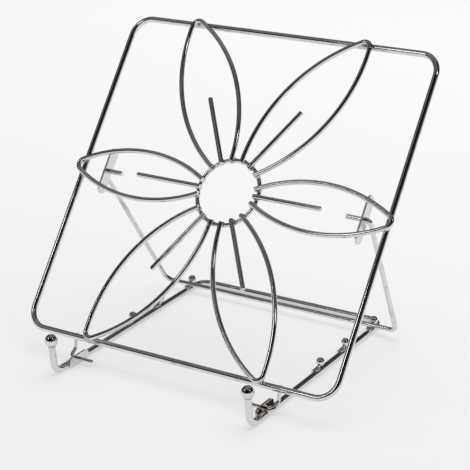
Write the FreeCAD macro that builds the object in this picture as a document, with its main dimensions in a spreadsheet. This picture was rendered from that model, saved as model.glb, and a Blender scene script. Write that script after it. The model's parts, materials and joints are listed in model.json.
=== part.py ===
"""Folding wire cookbook stand: a tilted flower panel hinged to a floor frame, held up by a swinging prop.

Frame: X to the right, Y to the back, Z up, millimetres. The origin is on the floor, under the middle of
the footprint. The panel is drawn flat, x across and y up its face, z out of its front, and then tilted.
"""
import FreeCAD, Part
import math
import os
import re

import Sketcher
from FreeCAD import Placement, Rotation, Vector

doc = FreeCAD.newDocument("CookbookStand")

# ---------------------------------------------------------------- driving sizes
SIZES = [
    # panel
    ("panel_width", 280.0, "between the centres of the side wires"),
    ("panel_height", 274.0, "between the centres of the top and bottom wires"),
    ("panel_tilt", 51.5, "degrees up from the floor, in the rear notch"),
    ("panel_corner", 16.0, "bend radius of the frame corners, on the centre line"),
    ("frame_wire", 5.0, "wire diameter of the panel frame"),
    # flower
    ("petal_wire", 4.0, "wire diameter of petals"),
    ("stamen_wire", 4.0, "wire diameter of stamens"),
    ("ring_wire", 3.5, "wire diameter of the hub ring"),
    ("ring_radius", 27.0, "hub ring, to the centre line"),
    ("hub_rise", 1.5, "hub centre above the middle of the panel"),
    ("petal_overrun", 3.0, "how far petals run in past the middle of the ring's wire"),
    ("petal_tip", 5.0, "bend radius at the tip of a petal"),
    ("slant_root", 8.4, "half the opening at the root of a slanted petal"),
    ("slant_bend", 130.0, "bend radius of the arms of a slanted petal"),
    ("side_root", 5.6, "half the opening at the root of a side petal"),
    ("side_bend", 123.0, "bend radius of the arms of a side petal"),
    ("side_overrun", 3.6, "how far a side petal passes the side wire"),
    ("stamen_overrun", 2.7, "how far stamens run in past the middle of the ring's wire"),
    ("stamen_length", 60.3, "length of a stamen"),
    # base
    ("base_length", 216.3, "front of the front balls to the back of the rear wire"),
    ("rail_half", 89.0, "middle of the stand to the centre of a rail"),
    ("base_wire", 5.0, "wire diameter of the floor frame"),
    ("base_corner", 11.0, "bend radius of the rear corners"),
    ("hook_wire", 5.5, "wire diameter of the front hooks"),
    ("hook_bend", 9.0, "bend radius of a front hook"),
    ("hook_lean", 1.6, "how far a hook leans forward at its top"),
    ("front_ball", 10.4, "ball diameter on a front hook"),
    ("front_ball_height", 30.5, "centre of a front ball above the floor"),
    # stops on the rails
    ("stop_ball", 6.9, "ball diameter on a stop"),
    ("stop_height", 9.8, "centre of a stop ball above the floor"),
    ("stop_wire", 2.0, "wire diameter of a stop"),
    ("stop_foot", 8.0, "length of the foot welded along the rail"),
    ("stop_side", 65.0, "degrees from the rail's top round to the foot, on its left shoulder"),
    ("stop_bend", 2.2, "bend radius of a stop"),
    ("stop_inset", 14.5, "rear stop, forward of the centre of the rear wire"),
    ("stop_pitch_rear", 48.3, "rear stop to middle stop"),
    ("stop_pitch_front", 40.1, "middle stop to front stop"),
    # lower hinge
    ("hinge_setback", 33.0, "hinge axis behind the front of the front balls"),
    ("hinge_tab_lift", 0.2, "gap between the hinge plate and the floor"),
    ("hinge_gap", 8.0, "gap between a hook and its rail, where the pin passes"),
    ("hinge_tab_length", 24.0, "length of the plate that bridges the gap"),
    ("hinge_tab_height", 8.4, "height of that plate"),
    ("tab_thick", 1.6, "plate thickness of all tabs"),
    ("link_wire", 3.0, "wire diameter of a hinge link"),
    ("link_pin", 13.0, "how far a hinge pin stands out inboard of its plate"),
    ("link_bend", 3.2, "bend radius of a hinge link"),
    ("crank_back", 6.6, "first bend of a link, behind the hinge axis"),
    ("crank_up", 4.0, "first bend of a link, above the hinge axis"),
    ("link_tail", 2.0, "how far a link runs on past the bottom wire"),
    ("panel_back", 5.9, "bottom wire of the panel behind the hinge axis"),
    ("panel_up", 15.4, "bottom wire of the panel above the hinge axis"),
    # prop and its pivots
    ("prop_wire", 4.0, "wire diameter of the prop"),
    ("prop_tab_grip", 5.4, "how far a prop plate runs out past the arms it is welded to"),
    ("prop_tab_length", 39.0, "length of a prop plate along the panel"),
    ("prop_tab_depth", 10.0, "depth of a prop plate behind the petals"),
    ("prop_pin", 14.0, "how far a prop pin stands out inboard of its plate"),
    ("prop_elbow", 3.6, "bend radius of the prop at its pins"),
    ("prop_corner", 7.0, "bend radius of the prop at its cross bar"),
    ("prop_overhang", 23.0, "prop leg outboard of the rail, at the cross bar"),
    # fits
    ("weld_sink", 0.2, "how far welded pieces run into each other"),
    ("pin_play", 0.08, "running clearance of a pin, on the radius"),
    ("side_play", 0.35, "gap between moving pieces side by side"),
    ("notch_play", 0.3, "gap under and behind the prop in its notch"),
    ("end_round", 0.5, "chamfer on cut wire ends"),
]

sheet = doc.addObject("Spreadsheet::Sheet", "Sizes")
for row, (alias, amount, note) in enumerate(SIZES, start=1):
    sheet.set("A%d" % row, alias)
    sheet.set("B%d" % row, str(amount))
    sheet.set("C%d" % row, note)
    sheet.setAlias("B%d" % row, alias)
doc.recompute()

# ---------------------------------------------------------------- worked-out places
places = doc.addObject("App::VarSet", "Places")
size_names = {alias for alias, amount, note in SIZES}


def formula(text):
    """Write a formula's plain names as references to the sheet or to the worked-out places."""
    def owner(match):
        word = match.group(0)
        if word in size_names:
            return "Sizes." + word
        if word in places.PropertiesList:
            return "Places." + word
        return word
    return re.sub(r"[a-z][a-z_0-9]*", owner, text)


def place(name, text):
    """Keep a named value worked out from the sheet, and return it as a number."""
    places.addProperty("App::PropertyFloat", name)
    places.setExpression(name, formula(text))
    places.recompute()
    return getattr(places, name)


def size(name):
    return float(getattr(sheet, name))


TILT = size("panel_tilt")
place("rear_wire_y", "base_length / 2 - base_wire / 2")
FRONT_BALL_Y = place("front_ball_y", "front_ball / 2 - base_length / 2")
HOOK_X = place("hook_x", "rail_half - base_wire / 2 + hook_wire / 2")
place("hook_end", "sqrt(pow(front_ball / 2; 2) - pow(hook_wire / 2; 2)) - weld_sink")
place("stop_y", "rear_wire_y - stop_inset")
place("stop_grip", "(base_wire + stop_wire) / 2 - weld_sink")
STOP_X = place("stop_x", "stop_grip * sin(stop_side)")
STOP_Z = place("stop_z", "base_wire / 2 + stop_grip * cos(stop_side)")
place("stop_rise", "sqrt(pow(stop_x; 2) + pow(stop_height - stop_z; 2))")
place("stop_end", "sqrt(pow(stop_ball / 2; 2) - pow(stop_wire / 2; 2)) - weld_sink")
HINGE_Y = place("hinge_y", "hinge_setback - base_length / 2")
HINGE_Z = place("hinge_z", "hinge_tab_height / 2 + hinge_tab_lift")
PANEL_Y = place("panel_y", "hinge_y + panel_back")
PANEL_Z = place("panel_z", "hinge_z + panel_up")
HUB_V = place("hub_v", "panel_height / 2 + hub_rise")
PETAL_W = place("petal_w", "frame_wire / 2 + petal_wire / 2 - weld_sink")
RING_W = place("ring_w", "petal_w - petal_wire / 2 - ring_wire / 2 + weld_sink")
STAMEN_W = place("stamen_w", "ring_w + ring_wire / 2 + stamen_wire / 2 - weld_sink")
PETAL_ROOT = place("petal_root", "ring_radius - petal_overrun")
PIVOT_W = place("pivot_w", "petal_w - petal_wire / 2 - prop_tab_depth / 2 + weld_sink")
PIVOT_Y = place("pivot_y", "panel_y + hub_v * cos(panel_tilt) - pivot_w * sin(panel_tilt)")
PIVOT_Z = place("pivot_z", "panel_z + hub_v * sin(panel_tilt) + pivot_w * cos(panel_tilt)")
panel_placement = Placement(Vector(0, PANEL_Y, PANEL_Z), Rotation(Vector(1, 0, 0), TILT))


def in_panel(x, y, z=0.0, turn=None):
    """A placement in the panel's own axes, turned first if asked."""
    return panel_placement.multiply(Placement(Vector(x, y, z), turn or Rotation()))


# ---------------------------------------------------------------- drawing helpers
pieces = {}


def keep(piece, label):
    """Name a finished sub-part."""
    piece.Label = label
    pieces[label] = piece
    return piece


def new_body(label, placement):
    body = doc.addObject("PartDesign::Body", "Body_" + label)
    body.Placement = placement
    return keep(body, label)


def new_sketch(body, role, name):
    """A sketch on one of the body's own origin planes."""
    sketch = body.newObject("Sketcher::SketchObject", name)
    plane = [f for f in body.Origin.OriginFeatures if f.Role == role][0]
    sketch.AttachmentSupport = [(plane, "")]
    sketch.MapMode = "FlatFace"
    return sketch


def nearest_end(sketch, index, point):
    """1 for the start of a curve, 2 for its end, whichever is at the point."""
    start = sketch.getPoint(index, 1).distanceToPoint(point)
    end = sketch.getPoint(index, 2).distanceToPoint(point)
    return 1 if start < end else 2


def bound(sketch, constraint, text):
    """Add a dimension that follows a formula."""
    index = sketch.addConstraint(constraint)
    sketch.setExpression("Constraints[%d]" % index, formula(text))
    return index


def pin_point(sketch, index, end, x_text, y_text, point):
    """Dimension one point from the sketch's origin."""
    bound(sketch, Sketcher.Constraint("DistanceX", -1, 1, index, end, point.x), x_text)
    bound(sketch, Sketcher.Constraint("DistanceY", -1, 1, index, end, point.y), y_text)


def bent_path(sketch, corners, bends):
    """Straight runs through the corners, joined by tangent bends. Corners and bends are formulas."""
    tag = sketch.Name.lower()
    points = []
    for number, (x_text, y_text) in enumerate(corners):
        x = place("%s_x%d" % (tag, number), x_text)
        y = place("%s_y%d" % (tag, number), y_text)
        points.append(Vector(x, y, 0))
    radii = [place("%s_bend%d" % (tag, n), text) for n, text in enumerate(bends)]
    runs = [[a, b] for a, b in zip(points, points[1:])]
    arcs = []
    for number, radius in enumerate(radii):
        corner = points[number + 1]
        back = (points[number] - corner).normalize()
        on = (points[number + 2] - corner).normalize()
        half = back.getAngle(on) / 2
        cut = radius / math.tan(half)
        start, end = corner + back * cut, corner + on * cut
        toward = (back + on).normalize()
        middle = corner + toward * (radius / math.sin(half) - radius)
        runs[number][1], runs[number + 1][0] = start, end
        arcs.append((start, middle, end))
    lines = [sketch.addGeometry(Part.LineSegment(a, b), False) for a, b in runs]
    for number, (start, middle, end) in enumerate(arcs):
        arc = sketch.addGeometry(Part.Arc(start, middle, end), False)
        corner = sketch.addGeometry(Part.Point(points[number + 1]), True)
        first, second = lines[number], lines[number + 1]
        sketch.addConstraint([
            Sketcher.Constraint("Tangent", first, 2, arc, nearest_end(sketch, arc, start)),
            Sketcher.Constraint("Tangent", arc, nearest_end(sketch, arc, end), second, 1),
            Sketcher.Constraint("PointOnObject", corner, 1, first),
            Sketcher.Constraint("PointOnObject", corner, 1, second)])
        bound(sketch, Sketcher.Constraint("Radius", arc, radii[number]), "%s_bend%d" % (tag, number))
        x_name, y_name = "%s_x%d" % (tag, number + 1), "%s_y%d" % (tag, number + 1)
        pin_point(sketch, corner, 1, x_name, y_name, points[number + 1])
    last = len(points) - 1
    pin_point(sketch, lines[0], 1, tag + "_x0", tag + "_y0", points[0])
    pin_point(sketch, lines[-1], 2, "%s_x%d" % (tag, last), "%s_y%d" % (tag, last), points[-1])
    return len(lines) + len(arcs)


def sweep_wire(body, path, edge_count, wire_size, name):
    """A round section swept along a path sketch, from the start of its first edge."""
    section = body.newObject("Sketcher::SketchObject", name + "Section")
    section.AttachmentSupport = [(path, "Edge1")]
    section.MapMode = "NormalToEdge"
    section.MapPathParameter = 0.0
    radius = size(wire_size) / 2
    circle = section.addGeometry(Part.Circle(Vector(0, 0, 0), Vector(0, 0, 1), radius), False)
    section.addConstraint(Sketcher.Constraint("Coincident", circle, 3, -1, 1))
    bound(section, Sketcher.Constraint("Radius", circle, radius), wire_size + " / 2")
    pipe = body.newObject("PartDesign::AdditivePipe", name + "Sweep")
    pipe.Profile = section
    pipe.Spine = (path, ["Edge%d" % (n + 1) for n in range(edge_count)])
    body.Tip = pipe
    return pipe


def bent_wire(label, name, placement, role, corners, bends, wire_size):
    """A sub-part bent from one wire in one plane."""
    body = new_body(label, placement)
    path = new_sketch(body, role, name + "Path")
    edge_count = bent_path(path, corners, bends)
    doc.recompute()
    sweep_wire(body, path, edge_count, wire_size, name)
    return body


def ball(label, centre, diameter):
    """A round ball, sized by the sheet."""
    sphere = doc.addObject("Part::Sphere", "Ball_" + label)
    sphere.setExpression("Radius", formula(diameter + " / 2"))
    sphere.Placement = Placement(centre, Rotation())
    return keep(sphere, label)


def slot_plate(label, name, placement, length, height, hole):
    """A flat plate with round ends and a hole in its middle, its thickness along its own z."""
    body = new_body(label, placement)
    sketch = new_sketch(body, "XY_Plane", name + "Outline")
    radius = place(name.lower() + "_round", height + " / 2")
    reach = place(name.lower() + "_reach", "%s / 2 - %s / 2" % (length, height))
    hole_radius = place(name.lower() + "_hole", hole)
    right = Part.Arc(Vector(reach, -radius, 0), Vector(reach + radius, 0, 0), Vector(reach, radius, 0))
    left = Part.Arc(Vector(-reach, radius, 0), Vector(-reach - radius, 0, 0), Vector(-reach, -radius, 0))
    bottom = Part.LineSegment(Vector(-reach, -radius, 0), Vector(reach, -radius, 0))
    top = Part.LineSegment(Vector(reach, radius, 0), Vector(-reach, radius, 0))
    bottom, right, top, left = [sketch.addGeometry(g, False) for g in (bottom, right, top, left)]
    loop = [(bottom, right), (right, top), (top, left), (left, bottom)]
    for first, second in loop:
        sketch.addConstraint(Sketcher.Constraint("Tangent", first, 2, second, 1))
    sketch.addConstraint([
        Sketcher.Constraint("Horizontal", bottom),
        Sketcher.Constraint("Symmetric", right, 3, left, 3, -1, 1)])
    bound(sketch, Sketcher.Constraint("Radius", right, radius), height + " / 2")
    bound(sketch, Sketcher.Constraint("DistanceX", -1, 1, right, 3, reach), name.lower() + "_reach")
    circle = sketch.addGeometry(Part.Circle(Vector(0, 0, 0), Vector(0, 0, 1), hole_radius), False)
    sketch.addConstraint(Sketcher.Constraint("Coincident", circle, 3, -1, 1))
    bound(sketch, Sketcher.Constraint("Radius", circle, hole_radius), name.lower() + "_hole")
    pad = body.newObject("PartDesign::Pad", name + "Pad")
    pad.Profile = sketch
    pad.setExpression("Length", formula("tab_thick"))
    pad.Midplane = True
    body.Tip = pad
    return body


# ---------------------------------------------------------------- panel
def make_panel_frame():
    half, top = "panel_width / 2", "panel_height"
    corners = [("0", "0"), (half, "0"), (half, top), ("-" + half, top), ("-" + half, "0"), ("0", "0")]
    bent_wire("panel_frame", "PanelFrame", panel_placement, "XY_Plane", corners,
              ["panel_corner"] * 4, "frame_wire")


def make_hub_ring():
    ring = doc.addObject("Part::Torus", "HubRing")
    ring.setExpression("Radius1", formula("ring_radius"))
    ring.setExpression("Radius2", formula("ring_wire / 2"))
    ring.Placement = in_panel(0, HUB_V, RING_W)
    keep(ring, "hub_ring")


def arm_centre(reach, half, bend):
    """The centre of a petal's arm: one bend radius from the root, with the tip bend inside it."""
    tip = size("petal_tip")
    start = Vector(PETAL_ROOT, half, 0)
    span = Vector(reach - tip, 0, 0) - start
    inner = bend - tip
    along = (bend ** 2 - inner ** 2 + span.Length ** 2) / (2 * span.Length)
    across = math.sqrt(bend ** 2 - along ** 2)
    direction = Vector(span).normalize()
    return start + direction * along + Vector(direction.y, -direction.x, 0) * across


def make_petal(label, name, angle, reach_text, root_text, bend_text):
    """A hairpin leaf: two long arms, tangent to a small bend at the tip. Drawn along its own x."""
    body = new_body(label, in_panel(0, HUB_V, PETAL_W, Rotation(Vector(0, 0, 1), angle)))
    path = new_sketch(body, "XY_Plane", name + "Path")
    reach = place(name.lower() + "_reach", reach_text)
    half, bend, tip = size(root_text), size(bend_text), size("petal_tip")
    tip_centre = Vector(reach - tip, 0, 0)
    start = Vector(PETAL_ROOT, half, 0)
    centre = arm_centre(reach, half, bend)
    touch = centre + (tip_centre - centre).normalize() * bend
    crown = centre + Vector(0, bend, 0)

    def mirrored(point):
        return Vector(point.x, -point.y, 0)

    upper = path.addGeometry(Part.Arc(start, crown, touch), False)
    nose = path.addGeometry(Part.Arc(touch, Vector(reach, 0, 0), mirrored(touch)), False)
    lower = path.addGeometry(Part.Arc(mirrored(touch), mirrored(crown), mirrored(start)), False)
    path.addConstraint([
        Sketcher.Constraint("Tangent", upper, nearest_end(path, upper, touch),
                            nose, nearest_end(path, nose, touch)),
        Sketcher.Constraint("Tangent", nose, nearest_end(path, nose, mirrored(touch)),
                            lower, nearest_end(path, lower, mirrored(touch))),
        Sketcher.Constraint("PointOnObject", nose, 3, -1),
        Sketcher.Constraint("Equal", upper, lower)])
    bound(path, Sketcher.Constraint("Radius", upper, bend), bend_text)
    bound(path, Sketcher.Constraint("Radius", nose, tip), "petal_tip")
    bound(path, Sketcher.Constraint("DistanceX", -1, 1, nose, 3, tip_centre.x),
          name.lower() + "_reach - petal_tip")
    pin_point(path, upper, nearest_end(path, upper, start), "petal_root", root_text, start)
    pin_point(path, lower, nearest_end(path, lower, mirrored(start)), "petal_root", "-" + root_text,
              mirrored(start))
    doc.recompute()
    sweep_wire(body, path, 3, "petal_wire", name)


def make_petals():
    """Four slanted petals that end on the top and bottom wires, and two that end on the side wires."""
    slant_reach = "panel_height / 2 / sin(60)"
    for label, angle in (("right", 0), ("left", 180)):
        make_petal("petal_" + label, "Petal" + label.title(), angle, "side_reach", "side_root", "side_bend")
    slants = (("upper_right", 60), ("upper_left", 120), ("lower_left", 240), ("lower_right", 300))
    for label, angle in slants:
        name = "Petal" + label.title().replace("_", "")
        make_petal("petal_" + label, name, angle, slant_reach, "slant_root", "slant_bend")


def make_stamen(label, angle):
    """A straight rod out from the hub, with chamfered ends."""
    rod = doc.addObject("Part::Cylinder", "Rod_" + label)
    rod.setExpression("Radius", formula("stamen_wire / 2"))
    rod.setExpression("Height", formula("stamen_length"))
    lie_down = Rotation(Vector(0, 1, 0), 90)
    spin = Rotation(Vector(0, 0, 1), angle)
    start = spin.multVec(Vector(size("ring_radius") - size("stamen_overrun"), 0, 0))
    rod.Placement = in_panel(start.x, HUB_V + start.y, STAMEN_W, spin.multiply(lie_down))
    doc.recompute()
    stamen = doc.addObject("Part::Chamfer", "Stamen_" + label)
    stamen.Base = rod
    cut = size("end_round")
    rims = [n for n, edge in enumerate(rod.Shape.Edges, start=1) if edge.isClosed()]
    stamen.Edges = [(n, cut, cut) for n in rims]
    keep(stamen, "stamen_" + label)


def make_prop_tab(label, side):
    """The plate across the back of a side petal's arms. The prop turns in the hole in its middle."""
    across = side * TAB_X
    upright = Rotation(Vector(0, 1, 0), 90).multiply(Rotation(Vector(0, 0, 1), 90))
    slot_plate("prop_tab_" + label, "PropTab" + label.title(), in_panel(across, HUB_V, PIVOT_W, upright),
               "prop_tab_length", "prop_tab_depth", "prop_wire / 2 + pin_play")


def bent_solid(points, bends, radius):
    """A round wire bent in space: straight runs and tangent bends in one closed solid."""
    edges, start = [], points[0]
    for before, corner, after, bend in zip(points, points[1:], points[2:], bends):
        back = (before - corner).normalize()
        on = (after - corner).normalize()
        half = back.getAngle(on) / 2
        cut = bend / math.tan(half)
        first, last = corner + back * cut, corner + on * cut
        middle = corner + (back + on).normalize() * (bend / math.sin(half) - bend)
        edges += [Part.LineSegment(start, first).toShape(), Part.Arc(first, middle, last).toShape()]
        start = last
    edges.append(Part.LineSegment(start, points[-1]).toShape())
    spine = Part.Wire(edges)
    face_normal = points[1] - points[0]
    section = Part.Wire([Part.Circle(points[0], face_normal, radius).toShape()])
    return spine.makePipeShell([section], True, False, 0)


def chamfer_ends(solid, ends, cut):
    """Chamfer the rims of the flat ends at the given points."""
    rims = [e for e in solid.Edges
            if e.isClosed() and isinstance(e.Curve, Part.Circle)
            and any(e.Curve.Center.distanceToPoint(p) < 0.01 for p in ends)]
    return solid.makeChamfer(cut, rims)


def make_hinge_link(label, side):
    """A cranked wire, welded behind the bottom wire. Its lower end turns inboard as the hinge pin."""
    radius = size("link_wire") / 2
    clear = "max(rail_half + base_wire / 2; hook_x + hook_wire / 2)"
    line_x = place("link_x_" + label, "%d * (%s + link_wire / 2 + side_play)" % (side, clear))
    tip_x = place("link_tip_" + label, "%d * (rail_half - base_wire / 2 - tab_thick - link_pin)" % side)
    knee = Vector(line_x, HINGE_Y + size("crank_back"), HINGE_Z + size("crank_up"))
    elbow = Vector(line_x, HINGE_Y, HINGE_Z)
    # the upper run leans so that it just runs into the back of the bottom wire
    to_wire = Vector(0, PANEL_Y - knee.y, PANEL_Z - knee.z)
    apart = size("frame_wire") / 2 + radius - size("weld_sink")
    lean = math.asin(apart / to_wire.Length) + math.atan2(to_wire.y, to_wire.z)
    run = math.sqrt(to_wire.Length ** 2 - apart ** 2) + size("link_tail")
    top = knee + Vector(0, math.sin(lean), math.cos(lean)) * run
    tip = Vector(tip_x, HINGE_Y, HINGE_Z)
    solid = bent_solid([top, knee, elbow, tip], [size("link_bend")] * 2, radius)
    link = doc.addObject("Part::Feature", "HingeLink" + label.title())
    link.Shape = chamfer_ends(solid, [top, tip], size("end_round"))
    link.Placement = Placement()
    keep(link, "hinge_link_" + label)


# ---------------------------------------------------------------- base
def make_base_frame():
    half, front = "rail_half", "hinge_y + hinge_gap / 2"
    corners = [("-" + half, front), ("-" + half, "rear_wire_y"), (half, "rear_wire_y"), (half, front)]
    bent_wire("base_frame", "BaseFrame", Placement(Vector(0, 0, size("base_wire") / 2), Rotation()),
              "XY_Plane", corners, ["base_corner"] * 2, "base_wire")


def make_front_hook(label, side):
    """The rail's front end, flush with its inner side: it runs forward and turns up to the ball."""
    corners = [("hinge_y - hinge_gap / 2", "hook_wire / 2"),
               ("front_ball_y + hook_lean", "hook_wire / 2"),
               ("front_ball_y + hook_lean * hook_end / (front_ball_height - hook_wire / 2)",
                "front_ball_height - hook_end")]
    spot = Vector(side * HOOK_X, 0, 0)
    bent_wire("front_hook_" + label, "Hook" + label.title(), Placement(spot, Rotation()), "YZ_Plane",
              corners, ["hook_bend"], "hook_wire")
    ball("front_ball_" + label, spot + Vector(0, FRONT_BALL_Y, size("front_ball_height")), "front_ball")


def make_hinge_tab(label, side):
    """The plate on the inner side of a rail that carries the hinge pin."""
    across = place("hinge_tab_x_" + label,
                   "%d * (rail_half - base_wire / 2 - tab_thick / 2 + weld_sink)" % side)
    upright = Rotation(Vector(0, 1, 0), 90).multiply(Rotation(Vector(0, 0, 1), 90))
    slot_plate("hinge_tab_" + label, "HingeTab" + label.title(),
               Placement(Vector(across, HINGE_Y, HINGE_Z), upright),
               "hinge_tab_length", "hinge_tab_height", "link_wire / 2 + pin_play")


def make_stop(label, number, side, y_text):
    """A ball on a short bent wire: its foot lies along the rail's shoulder, the ball stands over it."""
    name = "Stop%s%d" % (label.title(), number)
    y = place(name.lower() + "_y", y_text)
    corners = [(name.lower() + "_y - stop_foot", "0"), (name.lower() + "_y", "0"),
               (name.lower() + "_y", "stop_rise - stop_end")]
    rail_x = side * size("rail_half")
    foot = Vector(rail_x - STOP_X, 0, STOP_Z)
    lean = math.degrees(math.atan2(STOP_X, size("stop_height") - STOP_Z))
    tag = "%s_%d" % (label, number)
    bent_wire("stop_stem_" + tag, name, Placement(foot, Rotation(Vector(0, 1, 0), lean)), "YZ_Plane",
              corners, ["stop_bend"], "stop_wire")
    ball("stop_ball_" + tag, Vector(rail_x, y, size("stop_height")), "stop_ball")


def make_stops(label, side):
    middle = "stop_y - stop_pitch_rear"
    for number, y_text in enumerate((middle + " - stop_pitch_front", middle, "stop_y"), start=1):
        make_stop(label, number, side, y_text)


# ---------------------------------------------------------------- prop
def make_prop():
    """A U of wire: pins at the top, legs, and a cross bar that lies on the rails at the rear stops."""
    bar_z = place("bar_z", "max(base_wire; stop_z + stop_wire / 2) + prop_wire / 2 + notch_play")
    place("bar_reach", "(stop_ball + prop_wire) / 2 + notch_play")
    bar_y = place("bar_y", "stop_y - sqrt(pow(bar_reach; 2) - pow(stop_height - bar_z; 2))")
    place("leg_length", "sqrt(pow(bar_y - pivot_y; 2) + pow(bar_z - pivot_z; 2))")
    place("bar_half", "rail_half + prop_overhang")
    place("tab_side", "tab_x + tab_thick / 2 + side_play + prop_wire / 2")
    # the legs clear the plates all along them, and the elbows start outboard of the plates
    place("share", "prop_tab_length / 2 / leg_length")
    place("slope", "(tab_side + prop_elbow - bar_half) / leg_length")
    place("elbow_run", "prop_elbow * (sqrt(1 + pow(slope; 2)) + slope)")
    place("elbow_half", "tab_x + tab_thick / 2 + pin_play + elbow_run")
    place("pin_half", "max(elbow_half; (tab_side - share * bar_half) / (1 - share))")
    tip = "tab_x - tab_thick / 2 - prop_pin"
    corners = [("-(%s)" % tip, "0"), ("-pin_half", "0"), ("-bar_half", "-leg_length"),
               ("bar_half", "-leg_length"), ("pin_half", "0"), (tip, "0")]
    swing = math.degrees(math.atan2(bar_z - PIVOT_Z, bar_y - PIVOT_Y)) + 180
    spot = Placement(Vector(0, PIVOT_Y, PIVOT_Z), Rotation(Vector(1, 0, 0), swing))
    bent_wire("prop_wire", "Prop", spot, "XY_Plane", corners,
              ["prop_elbow", "prop_corner", "prop_corner", "prop_elbow"], "prop_wire")


SIDE_REACH = place("side_reach", "panel_width / 2 + side_overrun")
ARM = arm_centre(SIDE_REACH, size("side_root"), size("side_bend"))
# a prop plate stands where the arms of a side petal are as far apart as it can hold
ARM_HALF = size("prop_tab_length") / 2 - size("prop_tab_grip")
TAB_X = place("tab_x", "%.9f" % (ARM.x + math.sqrt(size("side_bend") ** 2 - (ARM_HALF - ARM.y) ** 2)))

make_panel_frame()
make_hub_ring()
make_petals()
for spoke, turn in (("right", 0), ("upper_right", 60), ("upper_left", 120),
                    ("left", 180), ("lower_left", 240), ("lower_right", 300)):
    make_stamen(spoke, turn)
make_base_frame()
for hand, sign in (("left", -1), ("right", 1)):
    make_prop_tab(hand, sign)
    make_hinge_link(hand, sign)
    make_front_hook(hand, sign)
    make_hinge_tab(hand, sign)
    make_stops(hand, sign)
make_prop()
doc.recompute()

# ---------------------------------------------------------------- checks and export
for item in doc.Objects:
    if "Invalid" in item.State or "Error" in item.State:
        raise RuntimeError("%s is %s" % (item.Label, item.State))
for label, piece in pieces.items():
    shape = piece.Shape
    if shape.isNull() or not shape.isValid() or len(shape.Solids) != 1 or shape.Volume <= 0:
        raise RuntimeError("%s has no sound solid" % label)
os.makedirs("parts", exist_ok=True)
for label, piece in sorted(pieces.items()):
    piece.Shape.exportStep("parts/%s.step" % label)
    box = piece.Shape.BoundBox
    print("%-20s volume %8.1f  x %7.1f %7.1f  y %7.1f %7.1f  z %7.1f %7.1f" % (
        label, piece.Shape.Volume, box.XMin, box.XMax, box.YMin, box.YMax, box.ZMin, box.ZMax))
print("hinge axis y %.3f z %.3f" % (HINGE_Y, HINGE_Z))
print("pivot axis y %.3f z %.3f" % (PIVOT_Y, PIVOT_Z))
print(len(pieces), "sub-parts")
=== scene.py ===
import json
import math

import bmesh
import bpy
from mathutils import Matrix, Vector
from mathutils.bvhtree import BVHTree


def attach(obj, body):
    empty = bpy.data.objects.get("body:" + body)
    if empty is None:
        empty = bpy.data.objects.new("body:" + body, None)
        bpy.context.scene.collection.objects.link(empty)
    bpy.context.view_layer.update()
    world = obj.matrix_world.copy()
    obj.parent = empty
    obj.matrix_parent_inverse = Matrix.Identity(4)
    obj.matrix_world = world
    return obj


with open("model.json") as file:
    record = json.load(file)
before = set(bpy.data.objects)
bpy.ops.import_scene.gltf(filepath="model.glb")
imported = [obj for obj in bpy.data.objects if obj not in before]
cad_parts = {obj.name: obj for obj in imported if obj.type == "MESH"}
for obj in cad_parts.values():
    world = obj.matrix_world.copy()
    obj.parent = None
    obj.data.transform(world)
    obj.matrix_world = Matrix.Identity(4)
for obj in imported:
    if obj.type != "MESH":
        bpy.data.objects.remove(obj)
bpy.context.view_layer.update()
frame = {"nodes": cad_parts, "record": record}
print("frame loaded:", len(frame["nodes"]), "pieces of wire, plate and ball")


# A socket in shader maths: it can be added, multiplied and so on.
class Wire:
    def __init__(self, tree, socket):
        self.tree = tree
        self.socket = socket

    def math(self, operation, *values):
        return self.tree.node("ShaderNodeMath", {"operation": operation}, dict(enumerate(values)))

    def __add__(self, other):
        return self.math("ADD", self, other)

    def __radd__(self, other):
        return self.math("ADD", other, self)

    def __sub__(self, other):
        return self.math("SUBTRACT", self, other)

    def __rsub__(self, other):
        return self.math("SUBTRACT", other, self)

    def __mul__(self, other):
        return self.math("MULTIPLY", self, other)

    def __rmul__(self, other):
        return self.math("MULTIPLY", other, self)

    def __gt__(self, other):
        return self.math("GREATER_THAN", self, other)


# A node tree of any kind: make gives a node, and node gives one of its outputs as a Wire.
class Tree:
    def __init__(self, nodeTree):
        self.nodes = nodeTree.nodes
        self.links = nodeTree.links
        self.nodes.clear()

    def make(self, kind, settings=None, values=None):  # the settings come first, as they change the sockets
        made = self.nodes.new(kind)
        for name, value in (settings or {}).items():
            if name == "stops":
                self.setStops(made.color_ramp, value)
            else:
                setattr(made, name, value)
        for name, value in (values or {}).items():
            socket = self.find(made.inputs, name)
            if isinstance(value, Wire):
                self.links.new(value.socket, socket)
            else:
                socket.default_value = value
        return made

    def node(self, kind, settings=None, values=None, out=0):
        return self.output(self.make(kind, settings, values), out)

    def output(self, made, out):
        return Wire(self, self.find(made.outputs, out))

    def find(self, sockets, name):  # some nodes have one socket of a name for each kind of data
        if isinstance(name, int):
            return sockets[name]
        return next(socket for socket in sockets if socket.name == name and socket.enabled)

    def setStops(self, ramp, stops):
        while len(ramp.elements) < len(stops):
            ramp.elements.new(0.5)
        for element, (place, colour) in zip(ramp.elements, stops):
            element.position = place
            element.color = (*colour, 1.0)

    def noise(self, place, scale, detail, roughness=0.5):
        return self.node("ShaderNodeTexNoise", None,
                         {"Vector": place, "Scale": scale, "Detail": detail, "Roughness": roughness})

    def remap(self, value, source, target=(0.0, 1.0), kind="LINEAR"):
        return self.node("ShaderNodeMapRange", {"interpolation_type": kind},
                         {"Value": value, "From Min": source[0], "From Max": source[1],
                          "To Min": target[0], "To Max": target[1]})

    def mixed(self, factor, first, second):
        return self.node("ShaderNodeMix", {"data_type": "RGBA"},
                         {"Factor": factor, "A": first, "B": second}, out="Result")


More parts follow.
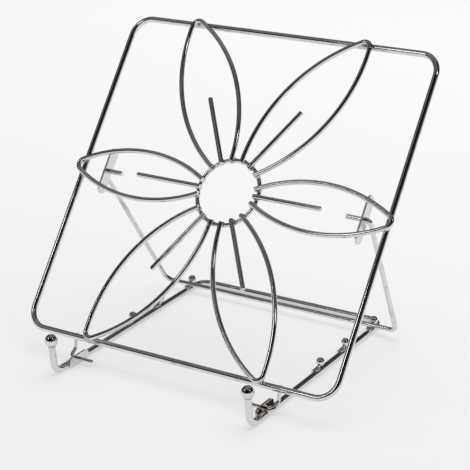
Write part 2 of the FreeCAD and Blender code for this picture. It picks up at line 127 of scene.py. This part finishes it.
# Chrome plate: bright, with a faint haze, small pits and the unevenness of drawn wire.
plate = {
    "bright": (0.74, 0.74, 0.755), "dull": (0.50, 0.485, 0.49), "brown": (0.62, 0.50, 0.42),
    "roughBright": 0.025, "roughDull": 0.12,
    "hazeScale": 42.0, "hazeDetail": 4.0, "hazeRoughness": 0.62,
    "smearScale": 210.0, "smearDetail": 2.0,
    "grainScale": 2600.0, "grainDetail": 1.0,
    "pitScale": 900.0, "pitWidth": 0.16,
    "hazeShare": 0.7, "smearShare": 0.3, "dullRange": (0.50, 0.72), "brownRange": (0.35, 0.65),
    "smearHeight": 0.55, "grainHeight": 0.10, "pitDepth": 0.25, "bump": 0.10, "bumpDistance": 0.0004,
}


def chrome(name, haze=1.0, warm=0.12, wavy=1.0, bright=plate["bright"], dark=plate["dull"]):
    made = bpy.data.materials.new(name)
    made.use_nodes = True
    tree = Tree(made.node_tree)
    place = tree.node("ShaderNodeTexCoord", out="Object")
    cloud = tree.noise(place, plate["hazeScale"], plate["hazeDetail"], plate["hazeRoughness"])
    smear = tree.noise(place, plate["smearScale"], plate["smearDetail"])
    grain = tree.noise(place, plate["grainScale"], plate["grainDetail"])
    pits = tree.node("ShaderNodeTexVoronoi", {"feature": "F1"}, {"Vector": place, "Scale": plate["pitScale"]})
    pit = tree.remap(pits, (0.0, plate["pitWidth"]), (1.0, 0.0))
    clouded = cloud * plate["hazeShare"] + smear * plate["smearShare"]
    dull = tree.remap(clouded, plate["dullRange"], kind="SMOOTHSTEP")
    colour = tree.mixed(dull * haze, (*bright, 1), (*dark, 1))
    colour = tree.mixed(tree.remap(smear, plate["brownRange"]) * warm, colour, (*plate["brown"], 1))
    rough = plate["roughBright"] + dull * (plate["roughDull"] - plate["roughBright"]) * haze
    height = smear * plate["smearHeight"] * wavy + grain * plate["grainHeight"] - pit * plate["pitDepth"]
    bump = tree.node("ShaderNodeBump", None,
                     {"Height": height, "Strength": plate["bump"], "Distance": plate["bumpDistance"]})
    shader = tree.node("ShaderNodeBsdfPrincipled", None,
                       {"Base Color": colour, "Metallic": 1.0, "Roughness": rough, "Normal": bump})
    tree.make("ShaderNodeOutputMaterial", None, {"Surface": shader})
    return made


chromes = {
    "panel_wire": chrome("FrameChrome"),
    "flower_wire": chrome("FlowerChrome", haze=1.2),
    "floor_wire": chrome("FloorChrome"),
    "balls": chrome("BallChrome", haze=0.5, wavy=0.3),
    "plates": chrome("PlateChrome", haze=1.6, warm=0.35),
    "prop_wire": chrome("PropChrome"),
}
brownedPlate = "hinge_tab_right"
tarnished = chrome("TarnishedChrome", haze=1.8, warm=0.95, bright=(0.66, 0.60, 0.56), dark=(0.36, 0.28, 0.24))
slotOf = {part["node"]: part["material_slot"] for part in frame["record"]["subparts"]}
for name, piece in frame["nodes"].items():
    for place in piece.material_slots:
        place.material = tarnished if name == brownedPlate else chromes[slotOf[name]]
print("chrome on", len(frame["nodes"]), "pieces")


# Where two welded pieces touch: how near counts, how far apart two welds are, and the step along an edge.
contact = {"within": 0.0004, "apart": 0.0045, "step": 0.0012}
sides = ("left", "right")
petals = sides + tuple(level + "_" + side for level in ("upper", "lower") for side in sides)
stops = ["%s_%d" % (side, number) for side in sides for number in (1, 2, 3)]


def alongEdges(mesh):  # every vertex, and points along the edges that are longer than a step
    points = [vertex.co.copy() for vertex in mesh.vertices]
    for edge in mesh.edges:
        start, end = (mesh.vertices[number].co for number in edge.vertices)
        steps = int((end - start).length / contact["step"])
        points += [start.lerp(end, step / steps) for step in range(1, steps)]
    return points


def nearTo(first, second):  # the points of one piece that lie at the surface of the other
    other = frame["nodes"][second].data
    surface = BVHTree.FromPolygons([vertex.co for vertex in other.vertices],
                                   [polygon.vertices for polygon in other.polygons])
    points = alongEdges(frame["nodes"][first].data)
    return [point for point in points if surface.find_nearest(point, contact["within"])[0]]


def middleOf(points):
    return sum(points, Vector()) / len(points)


def spots(first, second):  # one point for each place where the two pieces touch
    groups = []
    for point in nearTo(first, second):
        home = next((group for group in groups if (group[0] - point).length < contact["apart"]), None)
        if home:
            home.append(point)
        else:
            groups.append([point])
    return [middleOf(group) for group in groups]


def newGroup(name, inputs):
    group = bpy.data.node_groups.new(name, "GeometryNodeTree")
    group.is_modifier = True
    group.interface.new_socket(name="Geometry", in_out="INPUT", socket_type="NodeSocketGeometry")
    for label, kind in inputs.items():
        group.interface.new_socket(name=label, in_out="INPUT", socket_type="NodeSocket" + kind)
    group.interface.new_socket(name="Geometry", in_out="OUTPUT", socket_type="NodeSocketGeometry")
    tree = Tree(group)
    given = tree.make("NodeGroupInput")
    return group, tree, lambda label: tree.output(given, label)


def stored(tree, name, kind):  # a value that grow has stored on each point
    return tree.node("GeometryNodeInputNamedAttribute", {"data_type": kind}, {"Name": name}, out="Attribute")


def finished(tree, shape, metal):
    smooth = tree.node("GeometryNodeSetShadeSmooth", None, {"Geometry": shape})
    painted = tree.node("GeometryNodeSetMaterial", None, {"Geometry": smooth, "Material": metal})
    tree.make("NodeGroupOutput", None, {"Geometry": painted})


def grow(name, body, group, places, values):  # places: point, thickness and axis of each
    points, thicknesses, axes = zip(*places)
    mesh = bpy.data.meshes.new(name)
    mesh.from_pydata(points, [], [])
    mesh.attributes.new("thick", "FLOAT", "POINT").data.foreach_set("value", thicknesses)
    flatAxes = [part for axis in axes for part in axis]
    mesh.attributes.new("axis", "FLOAT_VECTOR", "POINT").data.foreach_set("vector", flatAxes)
    piece = bpy.data.objects.new(name, mesh)
    bpy.context.scene.collection.objects.link(piece)
    modifier = piece.modifiers.new("Grow", "NODES")
    modifier.node_group = group
    for socket in group.interface.items_tree:
        if socket.in_out == "INPUT" and socket.name in values:
            modifier[socket.identifier] = values[socket.name]
    depsgraph = bpy.context.evaluated_depsgraph_get()
    piece.data = bpy.data.meshes.new_from_object(piece.evaluated_get(depsgraph), depsgraph=depsgraph)
    piece.modifiers.clear()
    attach(piece, body)
    print(name, "on", body + ":", len(places), "places")


# Weld beads: a radius for each kind of weld, and the shape, tilt and lumps that all of them share.
beads = {
    "ring": 0.0026, "tip": 0.0023, "plate": 0.0018, "link": 0.0018, "foot": 0.0013, "rail": 0.0015,
    "long": 1.3, "low": 0.85, "tilt": 0.6, "turn": 6.28, "fineness": 4,
    "unevenness": 0.16, "lumpScale": 620.0, "lumpDetail": 2.0, "lumpGain": 4, "seed": 7,
}
weldChrome = chrome("WeldChrome", haze=2.0, warm=0.55, bright=(0.60, 0.57, 0.55), dark=(0.34, 0.30, 0.27))


def beadGroup():
    group, tree, given = newGroup("WeldBeads", {"Unevenness": "Float", "Lump scale": "Float",
                                                "Seed": "Int", "Metal": "Material"})
    thick = stored(tree, "thick", "FLOAT")
    size = tree.node("ShaderNodeCombineXYZ", None,
                     {"X": thick * beads["long"], "Y": thick, "Z": thick * beads["low"]})
    tilt = beads["tilt"]
    turn = tree.node("FunctionNodeRandomValue", {"data_type": "FLOAT_VECTOR"},
                     {"Min": (-tilt, -tilt, 0.0), "Max": (tilt, tilt, beads["turn"]), "Seed": given("Seed")},
                     out="Value")
    ball = tree.node("GeometryNodeMeshIcoSphere", None, {"Radius": 1.0, "Subdivisions": beads["fineness"]})
    placed = tree.node("GeometryNodeInstanceOnPoints", None,
                       {"Points": given("Geometry"), "Instance": ball, "Rotation": turn, "Scale": size})
    solid = tree.node("GeometryNodeRealizeInstances", None, {"Geometry": placed})
    lump = tree.node("ShaderNodeTexNoise", None, {"Scale": given("Lump scale"), "Detail": beads["lumpDetail"]})
    lift = (lump - 0.5) * thick * given("Unevenness") * beads["lumpGain"]
    swell = tree.node("ShaderNodeVectorMath", {"operation": "SCALE"},
                      {0: tree.node("GeometryNodeInputNormal"), "Scale": lift})
    lumpy = tree.node("GeometryNodeSetPosition", None, {"Geometry": solid, "Offset": swell})
    finished(tree, lumpy, given("Metal"))
    return group


def makeBeads():
    panel = [("hub_ring", kind + petal, "ring") for kind in ("petal_", "stamen_") for petal in petals]
    panel += [("petal_" + petal, "panel_frame", "tip") for petal in petals]
    panel += [("petal_" + side, "prop_tab_" + side, "plate") for side in sides]
    panel += [("hinge_link_" + side, "panel_frame", "link") for side in sides]
    base = [("stop_stem_" + stop, "base_frame", "foot") for stop in stops]
    base += [("hinge_tab_" + side, wire, "rail")
             for side in sides for wire in ("base_frame", "front_hook_" + side)]
    group = beadGroup()
    values = {"Unevenness": beads["unevenness"], "Lump scale": beads["lumpScale"],
              "Seed": beads["seed"], "Metal": weldChrome}
    for name, body, slot, pairs in (("PanelWelds", "panel", "flower_wire", panel),
                                    ("BaseWelds", "base", "floor_wire", base)):
        places = [(spot, beads[kind], (0, 0, 1))
                  for first, second, kind in pairs for spot in spots(first, second)]
        grow(name, body, group, places, values)


makeBeads()

# Collars: a thin dark hoop where a wire enters its ball, as thick as a share of the wire's own radius. Its
# darkness is partly the brazing at the neck and partly painted shade, standing in for the shadow and dark
# reflection under the ball.
collars = {"wireShare": 0.2, "hoopPoints": 40, "sectionPoints": 14}
# very dark chrome: brazing colour together with painted shade from under the ball
brazeAndShadeChrome = chrome("BrazeAndShadeCollarChrome", haze=1.5, warm=0.3, bright=(0.30, 0.29, 0.29), dark=(0.16, 0.15, 0.15))


def collarGroup():
    group, tree, given = newGroup("Collars", {"Wire share": "Float", "Metal": "Material"})
    wide = stored(tree, "thick", "FLOAT")
    axis = stored(tree, "axis", "FLOAT_VECTOR")
    hoop = tree.node("GeometryNodeCurvePrimitiveCircle", {"mode": "RADIUS"},
                     {"Resolution": collars["hoopPoints"], "Radius": 1.0})
    section = tree.node("GeometryNodeCurvePrimitiveCircle", {"mode": "RADIUS"},
                        {"Resolution": collars["sectionPoints"], "Radius": given("Wire share")})
    tube = tree.node("GeometryNodeCurveToMesh", None, {"Curve": hoop, "Profile Curve": section})
    turn = tree.node("FunctionNodeAlignRotationToVector", {"axis": "Z"}, {"Vector": axis})
    size = tree.node("ShaderNodeCombineXYZ", None, {"X": wide, "Y": wide, "Z": wide})
    placed = tree.node("GeometryNodeInstanceOnPoints", None,
                       {"Points": given("Geometry"), "Instance": tube, "Rotation": turn, "Scale": size})
    solid = tree.node("GeometryNodeRealizeInstances", None, {"Geometry": placed})
    finished(tree, solid, given("Metal"))
    return group


def neckOf(wire, ball):  # the middle, radius and direction of the circle where a wire enters its ball
    ring = nearTo(wire, ball)
    middle = middleOf(ring)
    centre = middleOf([vertex.co for vertex in frame["nodes"][ball].data.vertices])
    radius = sum((point - middle).length for point in ring) / len(ring)
    return middle, radius, (centre - middle).normalized()


def makeCollars():
    pairs = [("front_hook_" + side, "front_ball_" + side) for side in sides]
    pairs += [("stop_stem_" + stop, "stop_ball_" + stop) for stop in stops]
    necks = [neckOf(wire, ball) for wire, ball in pairs]
    grow("Collars", "base", collarGroup(), necks,
         {"Wire share": collars["wireShare"], "Metal": brazeAndShadeChrome})


makeCollars()
print("welds and collars done")


def toward(turn, rise):  # turn from the front towards the right, rise above the floor, in degrees
    turn, rise = math.radians(turn), math.radians(rise)
    return Vector((math.sin(turn) * math.cos(rise), -math.cos(turn) * math.cos(rise), math.sin(rise)))


def aimAt(thing, place, target, roll=0.0):
    look = (Vector(target) - Vector(place)).to_track_quat("-Z", "Y").to_matrix().to_4x4()
    thing.matrix_world = Matrix.Translation(Vector(place)) @ look @ Matrix.Rotation(roll, 4, "Z")


# Pale floor, which glows a little more towards the back.
floor = {
    "half": 7.0, "level": -0.0002, "colour": (0.42, 0.42, 0.423), "roughness": 0.9, "gloss": 0.1,
    "glowFrom": -0.3, "glowTo": 1.1, "glowFront": 0.46, "glowBack": 0.58,
}


def makeFloor():
    mesh = bpy.data.meshes.new("Floor")
    built = bmesh.new()
    half = floor["half"]
    corners = ((-half, -half), (half, -half), (half, half), (-half, half))
    built.faces.new([built.verts.new((x, y, floor["level"])) for x, y in corners])
    built.to_mesh(mesh)
    built.free()
    piece = bpy.data.objects.new("Floor", mesh)
    bpy.context.scene.collection.objects.link(piece)
    paint = bpy.data.materials.new("PaleFloor")
    paint.use_nodes = True
    tree = Tree(paint.node_tree)
    place = tree.node("ShaderNodeTexCoord", out="Object")
    back = tree.node("ShaderNodeSeparateXYZ", None, {"Vector": place}, out="Y")
    glow = tree.remap(back, (floor["glowFrom"], floor["glowTo"]),
                      (floor["glowFront"], floor["glowBack"]), "SMOOTHSTEP")
    grey = tree.node("ShaderNodeCombineColor", None, {"Red": glow, "Green": glow, "Blue": glow})
    shader = tree.node("ShaderNodeBsdfPrincipled", None,
                       {"Base Color": (*floor["colour"], 1), "Roughness": floor["roughness"],
                        "Specular IOR Level": floor["gloss"],
                        "Emission Color": grey, "Emission Strength": 1.0})
    tree.make("ShaderNodeOutputMaterial", None, {"Surface": shader})
    mesh.materials.append(paint)


# Grey room, bright low down, with dark corners and soft patches above the floor's edge.
room = {
    "seen": (0.99, 0.99, 0.99), "ambient": 0.60, "floorEdge": 0.07,
    "patchScale": 3.4, "patchDetail": 0.0, "patchRange": (0.40, 0.62), "patchLight": (0.05, 1.35),
    "greys": [  # height from 0 straight down to 1 straight up, and brightness
        (0.0, 0.80), (0.525, 0.78), (0.535, 0.01), (0.590, 0.02), (0.620, 0.165), (0.75, 0.165), (1.0, 0.17),
    ],
    "darkCorners": [  # turn, rise, dark within, gone by (all in degrees), and depth
        (12, 38, 18, 36, 0.97), (40, 18, 10, 46, 0.60), (122, 28, 12, 30, 0.90),
    ],
}


def makeRoom():
    world = bpy.data.worlds.new("Room")
    bpy.context.scene.world = world
    world.use_nodes = True
    tree = Tree(world.node_tree)
    look = tree.node("ShaderNodeTexCoord", out="Generated")
    height = tree.node("ShaderNodeSeparateXYZ", None, {"Vector": look}, out="Z")
    greys = [(place, (grey, grey, grey)) for place, grey in room["greys"]]
    walls = tree.node("ShaderNodeValToRGB", {"stops": greys}, {"Fac": height * 0.5 + 0.5})
    light = 1.0
    for turn, rise, within, goneBy, depth in room["darkCorners"]:
        facing = tree.node("ShaderNodeVectorMath", {"operation": "DOT_PRODUCT"},
                           {0: look, 1: toward(turn, rise)}, out="Value")
        edges = (math.cos(math.radians(goneBy)), math.cos(math.radians(within)))
        light = (1 - tree.remap(facing, edges, (0.0, depth), "SMOOTHSTEP")) * light
    cloud = tree.noise(look, room["patchScale"], room["patchDetail"])
    patch = tree.remap(cloud, room["patchRange"], room["patchLight"], "SMOOTHSTEP")
    above = height > room["floorEdge"]
    light = light * patch * above + (1 - above)
    grey = tree.node("ShaderNodeBackground", None, {"Color": walls, "Strength": light})
    even = tree.node("ShaderNodeBackground", None, {"Color": (1, 1, 1, 1), "Strength": room["ambient"]})
    seen = tree.node("ShaderNodeBackground", None, {"Color": (*room["seen"], 1), "Strength": 1.0})
    path = tree.make("ShaderNodeLightPath")
    diffuse, direct = tree.output(path, "Is Diffuse Ray"), tree.output(path, "Is Camera Ray")
    spread = tree.node("ShaderNodeMixShader", None, {0: diffuse, 1: grey, 2: even})
    both = tree.node("ShaderNodeMixShader", None, {0: direct, 1: spread, 2: seen})
    tree.make("ShaderNodeOutputWorld", None, {"Surface": both})


# Two small softboxes that show in the chrome, and a large soft fill from above that doesn't.
softboxes = {
    "LeftBox": {"toward": (-31, 44), "away": 2.5, "size": 0.28, "watts": 1.3, "shines": True},
    "RightBox": {"toward": (80, 48), "away": 2.5, "size": 0.28, "watts": 1.3, "shines": True},
    "CeilingFill": {"toward": (150, 80), "away": 2.6, "size": 2.2, "watts": 30.0, "shines": False},
}
lampTarget = (0.0, 0.0, 0.1)


def makeLights():
    for name, box in softboxes.items():
        lamp = bpy.data.lights.new(name, "AREA")
        lamp.shape = "SQUARE"
        lamp.size = box["size"]
        lamp.energy = box["watts"]
        light = bpy.data.objects.new(name, lamp)
        light.visible_glossy = box["shines"]
        bpy.context.scene.collection.objects.link(light)
        aimAt(light, toward(*box["toward"]) * box["away"], lampTarget)


camera = {  # metres, degrees of roll, millimetres of lens and sensor
    "place": (0.6404, -0.9643, 0.5515), "target": (0.0132, 0.0040, 0.1001),
    "roll": -1.67, "lens": 122.43, "sensor": 36.0,
}


def makeCamera():
    data = bpy.data.cameras.new("Camera")
    data.lens = camera["lens"]
    data.sensor_width = camera["sensor"]
    seat = bpy.data.objects.new("Camera", data)
    bpy.context.scene.collection.objects.link(seat)
    aimAt(seat, camera["place"], camera["target"], math.radians(camera["roll"]))
    bpy.context.scene.camera = seat


makeFloor()
makeRoom()
makeLights()
makeCamera()
bpy.context.scene.view_settings.view_transform = "Standard"
print("studio ready")
